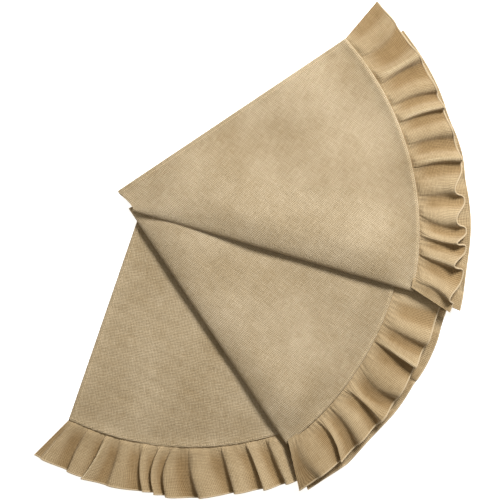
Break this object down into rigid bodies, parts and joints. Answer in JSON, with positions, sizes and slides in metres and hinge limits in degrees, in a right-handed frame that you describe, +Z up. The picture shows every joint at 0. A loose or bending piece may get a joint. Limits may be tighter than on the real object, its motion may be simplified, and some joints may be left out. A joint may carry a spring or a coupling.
{
  "type": "tree skirt",
  "caption": "Round burlap tree skirt with a gathered ruffle, laid fan-folded, that opens out flat at its folds into a nearly full disc with a slit and a trunk opening.",
  "frame": {"origin": "centre of the folded stack's box, on the surface that it lies on", "axes": "+Z up out of the surface; +Y along the stack's longest side, from the bottom panel's ruffle to the tip of the top panel; +X towards the fan of ruffles"},
  "size_m": [0.873, 0.9929, 0.047],
  "materials": {
    "burlap_cloth": "plain open weave of natural jute, matte, unbleached tan, with slubs",
    "ruffle_cloth": "the same jute weave cut as a strip and gathered, matte",
    "hem_cloth": "the same jute weave turned twice and stitched flat, matte",
    "thread": "spun sewing thread, matte, a little lighter than the cloth"
  },
  "bodies": {
    "bottom": {"bottom_neck_hem": "hem_cloth", "bottom_panel": "burlap_cloth", "bottom_ruffle": "ruffle_cloth", "bottom_ruffle_hem": "hem_cloth", "bottom_seam_allowance": "hem_cloth", "bottom_slit_hem": "hem_cloth", "bottom_slit_stitch": "thread", "bottom_topstitch": "thread", "lower_back_fold": "burlap_cloth", "lower_back_fold_ruffle_turn": "ruffle_cloth"},
    "lower_return": {"lower_return_neck_hem": "hem_cloth", "lower_return_panel": "burlap_cloth", "lower_return_ruffle": "ruffle_cloth", "lower_return_ruffle_hem": "hem_cloth", "lower_return_seam_allowance": "hem_cloth", "lower_return_topstitch": "thread", "middle_front_fold": "burlap_cloth", "middle_front_fold_ruffle_turn": "ruffle_cloth"},
    "middle": {"middle_neck_hem": "hem_cloth", "middle_panel": "burlap_cloth", "middle_ruffle": "ruffle_cloth", "middle_ruffle_hem": "hem_cloth", "middle_seam_allowance": "hem_cloth", "middle_topstitch": "thread", "upper_back_fold": "burlap_cloth", "upper_back_fold_ruffle_turn": "ruffle_cloth"},
    "upper_return": {"top_front_fold": "burlap_cloth", "top_front_fold_ruffle_turn": "ruffle_cloth", "upper_return_neck_hem": "hem_cloth", "upper_return_panel": "burlap_cloth", "upper_return_ruffle": "ruffle_cloth", "upper_return_ruffle_hem": "hem_cloth", "upper_return_seam_allowance": "hem_cloth", "upper_return_topstitch": "thread"},
    "top": {"top_neck_hem": "hem_cloth", "top_panel": "burlap_cloth", "top_ruffle": "ruffle_cloth", "top_ruffle_hem": "hem_cloth", "top_seam_allowance": "hem_cloth", "top_slit_hem": "hem_cloth", "top_slit_stitch": "thread", "top_topstitch": "thread"}
  },
  "joints": [
    {"name": "lower_back_fold_turn", "type": "hinge", "parent": "bottom", "child": "lower_return", "pos_m": [-0.179, 0.104, 0.0055], "axis": [-0.9989, -0.046, 0], "range_deg": [0, 180], "deforming": ["lower_back_fold", "lower_back_fold_ruffle_turn"]},
    {"name": "middle_front_fold_turn", "type": "hinge", "parent": "lower_return", "child": "middle", "pos_m": [-0.241, 0.083, 0.0135], "axis": [0.5563, -0.831, 0], "range_deg": [0, 180], "deforming": ["middle_front_fold", "middle_front_fold_ruffle_turn"]},
    {"name": "upper_back_fold_turn", "type": "hinge", "parent": "middle", "child": "upper_return", "pos_m": [-0.19, 0.134, 0.0215], "axis": [-0.8744, -0.4853, 0], "range_deg": [0, 180], "deforming": ["upper_back_fold", "upper_back_fold_ruffle_turn"]},
    {"name": "top_front_fold_turn", "type": "hinge", "parent": "upper_return", "child": "top", "pos_m": [-0.236, 0.081, 0.0295], "axis": [0.9607, -0.2774, 0], "range_deg": [0, 180], "deforming": ["top_front_fold", "top_front_fold_ruffle_turn"]}
  ],
  "couplings": [
    {"joint": "middle_front_fold_turn", "follows": "lower_back_fold_turn", "ratio": 1},
    {"joint": "top_front_fold_turn", "follows": "upper_back_fold_turn", "ratio": 1}
  ]
}
